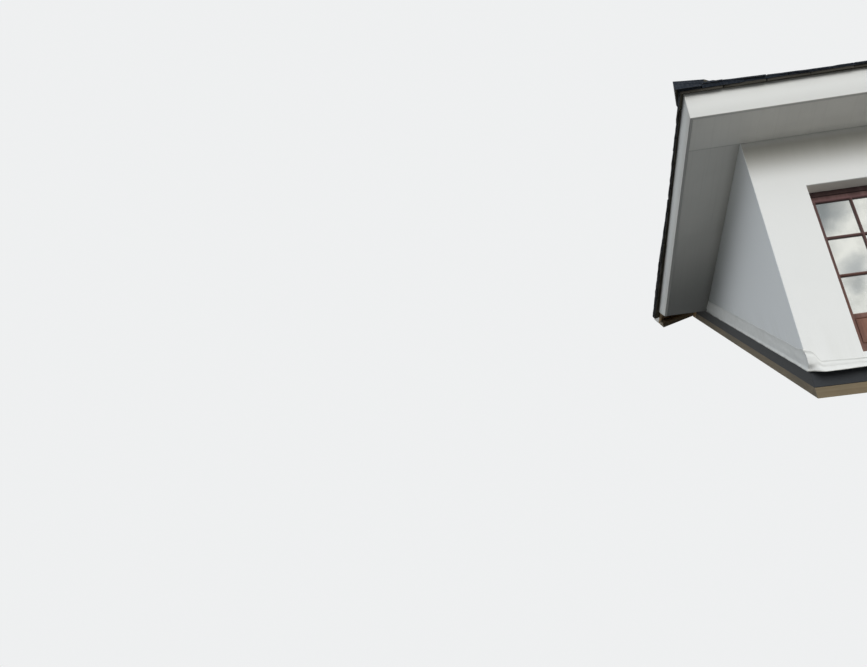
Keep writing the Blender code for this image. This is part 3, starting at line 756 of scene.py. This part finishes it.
def buildSlates():
    front = slateCourses("front", -eaveX, eaveX, lambda x: slates["overhang"], frontStack)
    for sign in (-1, 1):
        point, normal = hipPlane(sign)
        cutAway(front, point - normal * slates["hipGap"], normal)
    finishPiece("frontSlates", front, slateFinishes, ["front_slates"], pickFor(outOf("front")))
    for sign, side in ((-1, "left"), (1, "right")):
        ends = sorted((sign * eaveY, sign * slates["farEnd"]))
        bm = slateCourses(side, *ends, lambda a: alongList(slates["sideOverhangs"], sign * a),
                          lambda a: alongList(slates["sideStack"], sign * a))
        point, normal = hipPlane(sign)
        cutAway(bm, point + normal * slates["hipGap"], -normal)
        cutAway(bm, (sign * slates["middleGap"], 0, 0), (-sign, 0, 0))
        valley = Vector((sign * eaveX, deckTop / rise, 0))
        across = Vector((sign, 1, 0)).normalized()
        cutAway(bm, valley - across * slates["valleyOpening"], across)
        finishPiece(side + "Slates", bm, slateFinishes, [side + "_slates"], pickFor(outOf(side)))


buildSlates()
print("slates laid")


# Cap slates on the hips and the ridge

caps = {
    "exposure": 0.200, "length": 0.262, "width": 0.098, "thickness": 0.009, "clear": 0.0003, "base": 0.0224,
    "tip": 0.0448, "tipSplay": 0.176, "tipLift": 0.0355, "padLength": 0.115, "cutOff": 0.10,
    "pastFold": 0.030, "ridgeRun": 2.4, "ragged": 0.003, "noseSplay": 0.03, "seam": 0.0006,
    "ridgeStart": 0.0004, "seatGap": 0.003, "seed": 23,
}


def addFlange(whole, rng, start, ways, fold, runLength, firstLift=0.0):
    # lapped cap slates on one side of a fold, from its foot up; firstLift raises the first one of a hip
    thick, exposure, length = caps["thickness"], caps["exposure"], caps["length"]
    past, cutOff = caps["pastFold"], caps["cutOff"]
    flange = toneMesh("slateTone")
    foot = Matrix.Translation(start) @ Matrix(ways).transposed().to_4x4()
    lift = firstLift or thick + caps["clear"]

    def lay(tail, height, reach, tilt, thickness=thick, trim=0.0, tones=(1.0, 1.0)):
        width = caps["width"] + past + rng.uniform(-0.003, 0.003) - trim
        turn = Matrix.Rotation(-math.atan(tilt), 4, "X")
        swing = Matrix.Rotation(rng.uniform(-0.010, 0.010), 4, "Z")
        place = foot @ Matrix.Translation((width / 2 - past, tail, height)) @ turn @ swing
        addSlate(flange, rng, place, (width, reach, thickness), caps["ragged"], (3, 3), tones)

    for number in range(math.ceil(runLength / exposure)):
        if number == 0 and firstLift:
            # the tails run past the tip, where a plane cuts them off
            # painted shade: the first slates at the tip take darker tones and plainer colours
            for step in range(3):
                height = lift * step / 3
                fall = height / length
                reach = caps["padLength"] + cutOff
                lay(-cutOff, height + fall * cutOff, reach, fall, lift / 3 - 0.0004, 0.002, (0.3, 0.5))
            fall = lift / length
            lay(-cutOff, lift + fall * cutOff, length + cutOff, fall, tones=(0.4, 0.5))
        else:
            lay(number * exposure + rng.uniform(-0.004, 0.004), lift, length, lift / length)
        lift = lift * (1 - exposure / length) + thick + caps["clear"]
    cutAway(flange, start, fold)
    joinInto(whole, flange)


def buildHipCap(sign, side):
    rng = random.Random(caps["seed"] + sign)
    sideUp, frontUp = outOf(side), outOf("front")
    along = Vector((-sign, 1, rise)).normalized()
    fold = Vector((sign, 1, 0)).normalized()
    edge = caps["tip"]
    level = slateUnder - edge * rise + caps["base"] / cosine
    tip = Vector((sign * (eaveX + edge), eaveY - edge, level))
    length = (eaveX + edge) * math.sqrt(2 + rise * rise)
    bm = toneMesh("slateTone")
    for up, away in ((sideUp, fold), (frontUp, -fold)):
        across = along.cross(up).normalized()
        across *= math.copysign(1.0, across.dot(away))
        addFlange(bm, rng, tip, (across, along, up), -away, length, caps["tipLift"])
    cutAway(bm, tip, Vector((sign, caps["tipSplay"], 0)).normalized())
    cutAway(bm, tip, Vector((-sign * caps["noseSplay"], -1, 0)).normalized())
    cutAway(bm, (sign * caps["seam"], 0, 0), (-sign, 0, 0))
    cutAway(bm, (0, apexY - caps["seam"], 0), (0, 1, 0))
    pick = pickFor(sideUp, frontUp)
    finishPiece(side + "HipCaps", bm, slateFinishes, [side + "_hip_cap"], pick)


def buildRidgeCap():
    rng = random.Random(caps["seed"] + 5)
    level = slateUnder + eaveX * rise + caps["base"] / cosine
    start = Vector((0, apexY - caps["ridgeStart"], level))
    bm = toneMesh("slateTone")
    for sign, side in ((-1, "left"), (1, "right")):
        across = Vector((sign * cosine, 0, -sine))
        addFlange(bm, rng, start, (across, (0, 1, 0), outOf(side)), (-sign, 0, 0), caps["ridgeRun"])
    cutAway(bm, seatUp * caps["seatGap"], -seatUp)
    pick = pickFor(outOf("left"), outOf("right"))
    finishPiece("ridgeCaps", bm, slateFinishes, ["ridge_cap"], pick)


buildHipCap(-1, "left")
buildHipCap(1, "right")
buildRidgeCap()
print("caps laid")


# Roof boarding, one board at a time across the rafters

boards = {"width": 0.148, "gap": 0.0016, "start": 0.012, "spare": 0.020, "widthJitter": 0.004, "seed": 31}


def buildBoards(nodeName, pieceName, side, finishName):
    rng = random.Random(boards["seed"] + len(pieceName))
    slope = slopeFrame(side)
    up = (slope.to_3x3() @ Vector((0, 1, 0))).normalized()
    start = slope.translation
    whole = toneMesh("boardTone")
    run = boards["start"]
    while run < eaveX / cosine + boards["spare"]:
        end = run + boards["width"] + rng.uniform(-boards["widthJitter"], boards["widthJitter"])
        board = copyOf(nodeName)
        layer = board.verts.layers.float_color.new("boardTone")
        cutAway(board, start + up * run, -up)
        cutAway(board, start + up * (end - boards["gap"]), up)
        if board.faces:
            bmesh.ops.recalc_face_normals(board, faces=board.faces)
            tone = (rng.random(), rng.random(), rng.random(), 1.0)
            for v in board.verts:
                v[layer] = tone
            joinInto(whole, board)
        else:
            board.free()
        run = end
    finishPiece(pieceName, whole, [finishName], [nodeName])


buildBoards("front_roof_deck", "frontBoards", "front", "boardsAcross")
buildBoards("left_roof_deck", "leftBoards", "left", "boardsAlong")
buildBoards("right_roof_deck", "rightBoards", "right", "boardsAlong")
print("boards laid")


# Window: upright and level members get their own grain

joinery = {
    "edge": 0.0008, "stile": 0.031, "bar": 0.0125, "panelBand": 0.193, "panelHead": 0.030, "panelFoot": 0.045,
    "panelField": 0.0060, "panelTongue": 0.0081, "panelSink": 0.0004, "paneTilt": 0.0020, "seed": 41,
    "frameFoot": 0.0205, "frameHead": 0.0520, "glassThickness": 0.003, "rebate": 0.003, "glassBack": 0.0006,
}
slack = 0.001  # allowed when a place is compared with a member's edge


def paneSizes(low, high):
    # the panes' foot, and their sight width and height
    foot = low.z + joinery["panelBand"]
    width = (high.x - low.x - 2 * joinery["stile"] - 2 * joinery["bar"]) / 3
    return foot, width, (high.z - joinery["stile"] - foot - 2 * joinery["bar"]) / 3


def memberPicker(low, high, stile, rails):
    # 0 where the grain stands upright, 1 where it lies level
    def pick(face):
        centre = face.calc_center_median()
        for railLow, railHigh in rails:
            if railLow < centre.z < railHigh and low.x + stile < centre.x < high.x - stile:
                return 1
        return 0
    return pick


def buildSash(side):
    low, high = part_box(side + "_sash")
    stile, bar = joinery["stile"], joinery["bar"]
    foot, _, paneHeight = paneSizes(low, high)
    panelFoot, panelTop = low.z + joinery["panelFoot"], foot - joinery["panelHead"]
    rails = [(low.z - slack, panelFoot), (panelTop, foot), (high.z - stile, high.z + slack)]
    for number in (1, 2):
        middle = foot + number * (paneHeight + bar) - bar / 2
        rails.append((middle - bar / 2, middle + bar / 2))
    bm = copyOf(side + "_sash")

    def byPanel(v):
        return low.x + stile - slack < v.co.x < high.x - stile + slack and v.co.z < panelTop + slack

    def awayFromPanel(edge):
        # the edges round the panel stay sharp
        return not all(byPanel(v) for v in edge.verts) or max(v.co.z for v in edge.verts) < panelFoot - slack

    soften(bm, joinery["edge"], 1, awayFromPanel)
    pick = memberPicker(low, high, stile, rails)
    finishPiece(side + "Sash", bm, ["upright", "level"], [side + "_sash"], pick)


def buildPanes(side):
    # one sheet of glass a pane, each set a hair out of true in its putty
    rng = random.Random(joinery["seed"] + len(side))
    low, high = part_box(side + "_sash")
    glassLow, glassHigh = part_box(side + "_sash_glass")
    foot, paneWidth, paneHeight = paneSizes(low, high)
    rebates = 2 * joinery["rebate"]
    size = (paneWidth + rebates, joinery["glassThickness"], paneHeight + rebates)
    bm = bmesh.new()
    for column in range(3):
        for row in range(3):
            centre = Vector((
                low.x + joinery["stile"] + paneWidth / 2 + column * (paneWidth + joinery["bar"]),
                (glassLow.y + glassHigh.y) / 2 + joinery["glassBack"],
                foot + paneHeight / 2 + row * (paneHeight + joinery["bar"]),
            ))
            pane = bmesh.ops.create_cube(bm, size=1.0)["verts"]
            bmesh.ops.scale(bm, verts=pane, vec=size)
            nod, swing = (rng.uniform(-1, 1) * joinery["paneTilt"] for _ in range(2))
            turn = Matrix.Rotation(nod, 4, "X") @ Matrix.Rotation(swing, 4, "Z")
            bmesh.ops.transform(bm, verts=pane, matrix=Matrix.Translation(centre) @ turn)
    finishPiece(side + "Panes", bm, ["glass"], [side + "_sash_glass"])


def buildFrame():
    low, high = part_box("window_frame")
    rails = [(low.z - slack, low.z + joinery["frameFoot"]), (high.z - joinery["frameHead"], high.z + slack)]
    bm = copyOf("window_frame")
    soften(bm, joinery["edge"], 1)
    pick = memberPicker(low, high, 0.0, rails)
    finishPiece("windowFrame", bm, ["upright", "level"], ["window_frame"], pick)


def buildPanel(side):
    # a panel tongued into its grooves, with a field that comes out nearly flush with the rails
    low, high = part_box(side + "_sash_panel")
    bm = bmesh.new()
    core = bmesh.ops.create_cube(bm, size=1.0)["verts"]
    front = low.y + joinery["panelField"]
    bmesh.ops.scale(bm, verts=core, vec=(high.x - low.x, high.y - front, high.z - low.z))
    middle = ((low.x + high.x) / 2, (front + high.y) / 2, (low.z + high.z) / 2)
    bmesh.ops.translate(bm, verts=core, vec=middle)
    field = min(bm.faces, key=lambda f: f.calc_center_median().y)
    bmesh.ops.inset_region(bm, faces=[field], thickness=joinery["panelTongue"], use_even_offset=True)
    raised = bmesh.ops.extrude_discrete_faces(bm, faces=[field])["faces"][0]
    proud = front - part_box(side + "_sash")[0].y - joinery["panelSink"]
    bmesh.ops.translate(bm, verts=raised.verts, vec=(0, -proud, 0))
    ease(bm, list(raised.edges), joinery["edge"] / 4, 2)
    finishPiece(side + "Panel", bm, ["panel"], [side + "_sash_panel"])


buildFrame()
for side in ("left", "right"):
    buildSash(side)
    buildPanes(side)
    buildPanel(side)
print("window made")


# Flashing: one dressed membrane round the foot of the front and both cheeks

flashing = {
    "apronHeight": 0.040, "apronEnd": 0.031, "cheekHeight": 0.092, "cornerHeight": 0.103, "cornerFall": 0.35,
    "cornerReach": 0.030, "cornerEnd": 0.060, "cornerSwell": 0.023, "foot": 0.036, "footFar": 0.029,
    "swell": 0.011, "cheekFoot": 0.008, "cheekStop": 0.03, "foldEnd": 0.055, "settled": 0.03, "lift": 0.0010,
    "wall": 0.0006, "sheet": 0.0014, "step": 0.007, "rows": 14, "seed": 5.3,
}


def softStep(value, low, high):
    t = min(1.0, max(0.0, (value - low) / (high - low)))
    return t * t * (3 - 2 * t)


def blend(first, second, amount):
    return first + (second - first) * amount


def cornerOut(drop):
    # how far the folded corner stands before the wall, from its top edge to its foot
    swell = softStep(drop, 0.0, 0.26) * (1 - 0.82 * softStep(drop, 0.55, 1.0))
    return flashing["wall"] + flashing["cornerSwell"] * swell


def cheekOut(drop):
    foot = flashing["cheekFoot"] * softStep(drop, 0.80, 1.0) ** 2
    return flashing["wall"] + 0.0012 + 0.0016 * softStep(drop, 0.1, 0.6) + foot


def frontOut(along, drop):
    foot = blend(flashing["foot"], flashing["footFar"], softStep(along, 0.09, 0.24))
    band = flashing["wall"] + 0.002 + flashing["swell"] * softStep(drop, 0.0, 0.45)
    band += (foot - flashing["swell"]) * softStep(drop, 0.62, 1.0) ** 1.4
    return blend(cornerOut(drop), band, softStep(along, 0.004, flashing["foldEnd"]))


def buildFlashing():
    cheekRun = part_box("left_cheek_flashing")[1].y - wallFront - flashing["cheekStop"]
    cheekSteps = round(cheekRun / flashing["step"])
    frontSteps = 2 * round(wallX / flashing["step"])
    columns = 2 * cheekSteps + frontSteps
    seed, foldEnd, settled = flashing["seed"], flashing["foldEnd"], flashing["settled"]
    bm = bmesh.new()
    bmesh.ops.create_grid(bm, x_segments=columns, y_segments=flashing["rows"], size=0.5)
    layer = bm.verts.layers.float_color.new("sheetEdge")
    for v in bm.verts:
        column = round((v.co.x + 0.5) * columns)
        drop = 0.5 - v.co.y  # 0 at the top edge, 1 at the foot
        sign = -1 if column <= columns / 2 else 1
        s = column * flashing["step"]
        wave = noise.noise(Vector((s * 9, seed, 0)))
        ripple = noise.noise(Vector((s * 38, seed, 2.7)))
        crease = noise.noise(Vector((s * 15, drop * 2.2, seed)))
        fine = noise.noise(Vector((s * 60, drop * 8.0, seed + 4)))
        rough = (crease * 0.0030 + fine * 0.0010) * softStep(drop, 0.02, 0.25)
        if cheekSteps <= column <= cheekSteps + frontSteps:
            fromFold = (column - cheekSteps) * 2 * wallX / frontSteps
            along = min(fromFold, 2 * wallX - fromFold)
            band = blend(flashing["apronHeight"], flashing["apronEnd"], softStep(along, 0.06, 0.24))
            corner = flashing["cornerHeight"] - flashing["cornerFall"] * along
            height = blend(corner, band, softStep(along, flashing["cornerReach"], flashing["cornerEnd"]))
            height += (wave * 0.0022 + ripple * 0.0012) * softStep(along, 0.0, settled)
            pull = 1 - softStep(along, 0.0, foldEnd)
            x = sign * (wallX - along + cheekOut(drop) * pull)
            y = wallFront - frontOut(along, drop) - max(rough * softStep(along, 0.0, settled), -0.001)
        else:
            past = cheekSteps - column if sign < 0 else column - cheekSteps - frontSteps
            back = past * cheekRun / cheekSteps
            height = blend(flashing["cornerHeight"], flashing["cheekHeight"], softStep(back, 0.0, 0.08))
            height += (wave * 0.0040 + ripple * 0.0016) * softStep(back, 0.0, 0.04)
            pull = 1 - softStep(back, 0.0, foldEnd)
            x = sign * (wallX + cheekOut(drop) + max(rough * 0.7 * softStep(back, 0.0, settled), -0.001))
            y = wallFront + back - cornerOut(drop) * pull
        v[layer] = (drop, 0.0, 0.0, 1.0)
        v.co = (x, y, rise * y + roofLift + height * (1 - drop) + flashing["lift"])
    bmesh.ops.recalc_face_normals(bm, faces=bm.faces)
    sample = min(bm.faces, key=lambda f: (f.calc_center_median() - Vector((0, wallFront - 0.02, 0.1))).length)
    if sample.normal.y > 0:
        bmesh.ops.reverse_faces(bm, faces=bm.faces)
    bmesh.ops.solidify(bm, geom=bm.faces[:], thickness=flashing["sheet"])
    nodes = ["front_apron", "left_cheek_flashing", "right_cheek_flashing"]
    piece = finishPiece("dressedFlashing", bm, ["membrane"], nodes)
    for polygon in piece.data.polygons:
        polygon.use_smooth = True
    piece.data.set_sharp_from_angle(angle=math.radians(38))


buildFlashing()
print("flashing dressed")


# Timbers and linings keep their solids and take a finish along their own grain

dress("softwoodAcross", "front_wall_plate")
dress("softwoodAlong", "left_wall_plate", "right_wall_plate", "ridge_board")
dress("softwoodFrontSlope", "front_rafter")
dress("treatedAcross", "front_sole_plate")
dress("treatedSeat", "left_sole_plate", "right_sole_plate")
dress("lead", "left_valley_lining", "right_valley_lining")
for side, other in (("Left", "Right"), ("Right", "Left")):
    start = side.lower() + "_"
    dress("softwood" + side + "Hip", start + "hip_rafter")
    dress("softwood" + side + "Slope", *(start + kind + "_rafter" for kind in ("crown", "common", "valley")))
    dress("treated" + other + "Hip", start + "lay_board")  # a valley runs the other way from its side's hip
print("timbers dressed")


# Stage: a pale floor well below the camera, and a plain pale surround

stage = {
    "floorLevel": -3.2, "floorHalf": 60.0, "paper": (0.86, 0.87, 0.875), "floorPaper": (0.735, 0.709, 0.677),
    "skyHigh": 1.26, "skyLow": 0.11, "keyStrength": 2.15, "keyAngle": 54.0, "keyFrom": (0.39, -0.88, 0.26),
    "keyColour": (1.0, 0.99, 0.97),
    "darkClouds": (
        ((0.3079, -0.7807, 0.5438), 0.049, 0.84),
        ((0.3244, -0.8057, 0.4956), 0.020, 0.74),
        ((0.3266, -0.8142, 0.4799), 0.011, 0.66),
    ),
}


def buildFloor():
    bm = bmesh.new()
    bmesh.ops.create_grid(bm, x_segments=1, y_segments=1, size=stage["floorHalf"])
    bmesh.ops.translate(bm, verts=bm.verts, vec=(0, 0, stage["floorLevel"]))
    floor = objectFrom("floor", bm)
    finish = Finish("floorPaper", Roughness=0.9, Specular_IOR_Level=0.1)
    seen = finish.add("ShaderNodeLightPath", output="Is Camera Ray")
    finish.set("Base Color", finish.mix(seen, (0.16, 0.16, 0.155), stage["floorPaper"]))
    clear = finish.add("ShaderNodeBsdfTransparent")
    below = finish.add("ShaderNodeNewGeometry", output="Backfacing")
    paper = Signal(finish, finish.shader.outputs[0])
    joined = finish.add("ShaderNodeMixShader", {}, {0: below, 1: paper, 2: clear})
    finish.tree.links.new(joined.socket, finish.tree.nodes["Material Output"].inputs["Surface"])
    floor.data.materials.append(finish.material)


def buildSurround():
    world = bpy.data.worlds.new("surround")
    bpy.context.scene.world = world
    sky = Finish("surround", world)
    toward = sky.add("ShaderNodeTexCoord", output="Generated")
    x, y, z = sky.axes(toward)
    light = stage["skyLow"] + z.ramp(-0.10, 0.80) * (stage["skyHigh"] - stage["skyLow"])
    plain = sky.add("ShaderNodeCombineColor", {}, {0: light * 0.93, 1: light * 0.985, 2: light * 1.05})
    flattened = sky.add("ShaderNodeMapping", {}, {"Vector": toward, "Scale": (1.0, 1.0, 1.9)})
    cloud = sky.grain(flattened, 17.0, 5.0, 0.55, 0.2)
    wisps = sky.grain(flattened, 95.0, 5.0, 0.60, 0.3)
    clouds = sky.colours(cloud + (wisps - 0.5) * 0.22, [
        (0.33, (0.72, 0.72, 0.67)), (0.44, (0.84, 0.83, 0.765)), (0.54, (0.905, 0.892, 0.82)),
    ])
    for direction, reach, depth in stage["darkClouds"]:
        away = sky.add("ShaderNodeVectorMath", {"operation": "DISTANCE"}, {0: toward, 1: direction}, "Value")
        frayed = away + ((cloud - 0.5) * 1.8 + (wisps - 0.5) * 1.5) * reach
        soft = 1 - frayed.ramp(reach * 0.20, reach)
        clouds = sky.mix(soft * depth, clouds, (0.26, 0.285, 0.30))
    seen = sky.add("ShaderNodeLightPath", output="Is Camera Ray")
    through = sky.add("ShaderNodeLightPath", output="Is Transmission Ray")
    mirrored = sky.add("ShaderNodeLightPath", output="Is Glossy Ray")
    colour = sky.mix(mirrored, plain, clouds)
    colour = sky.mix((seen + through).clamped(), colour, stage["paper"])
    background = sky.tree.nodes["Background"]
    sky.tree.links.new(colour.socket, background.inputs["Color"])
    background.inputs["Strength"].default_value = 1.0


def addSun():
    lamp = bpy.data.lights.new("keyLamp", "SUN")
    lamp.energy = stage["keyStrength"]
    lamp.angle = math.radians(stage["keyAngle"])
    lamp.color = stage["keyColour"]
    made = bpy.data.objects.new("keyLamp", lamp)
    made.rotation_euler = Vector(stage["keyFrom"]).to_track_quat("Z", "Y").to_euler()
    made.visible_glossy = False
    bpy.context.scene.collection.objects.link(made)


buildFloor()
buildSurround()
addSun()
bpy.context.scene.view_settings.view_transform = "Standard"


# Camera: low on the left front, as the photograph was taken

cameraAt = {
    "place": (-1.9935, -3.7432, -1.6892), "yaw": 5.9496, "pitch": 30.5781, "roll": -4.5047, "focal": 948.1,
}


def addCamera():
    yaw, tilt, roll = (math.radians(cameraAt[k]) for k in ("yaw", "pitch", "roll"))
    forward = Vector((-math.sin(yaw) * math.cos(tilt), math.cos(yaw) * math.cos(tilt), math.sin(tilt)))
    level = Vector((math.cos(yaw), math.sin(yaw), 0))
    above = level.cross(forward)
    right = level * math.cos(roll) + above * math.sin(roll)
    up = above * math.cos(roll) - level * math.sin(roll)
    lens = bpy.data.cameras.new("camera")
    lens.sensor_fit = "HORIZONTAL"
    lens.sensor_width = 36.0
    lens.lens = cameraAt["focal"] / imageSize[0] * lens.sensor_width
    lens.clip_end = 500.0
    camera = bpy.data.objects.new("camera", lens)
    turn = Matrix((right, up, -forward)).transposed().to_4x4()
    camera.matrix_world = Matrix.Translation(cameraAt["place"]) @ turn
    bpy.context.scene.collection.objects.link(camera)
    bpy.context.scene.camera = camera


addCamera()
print("stage and camera set")
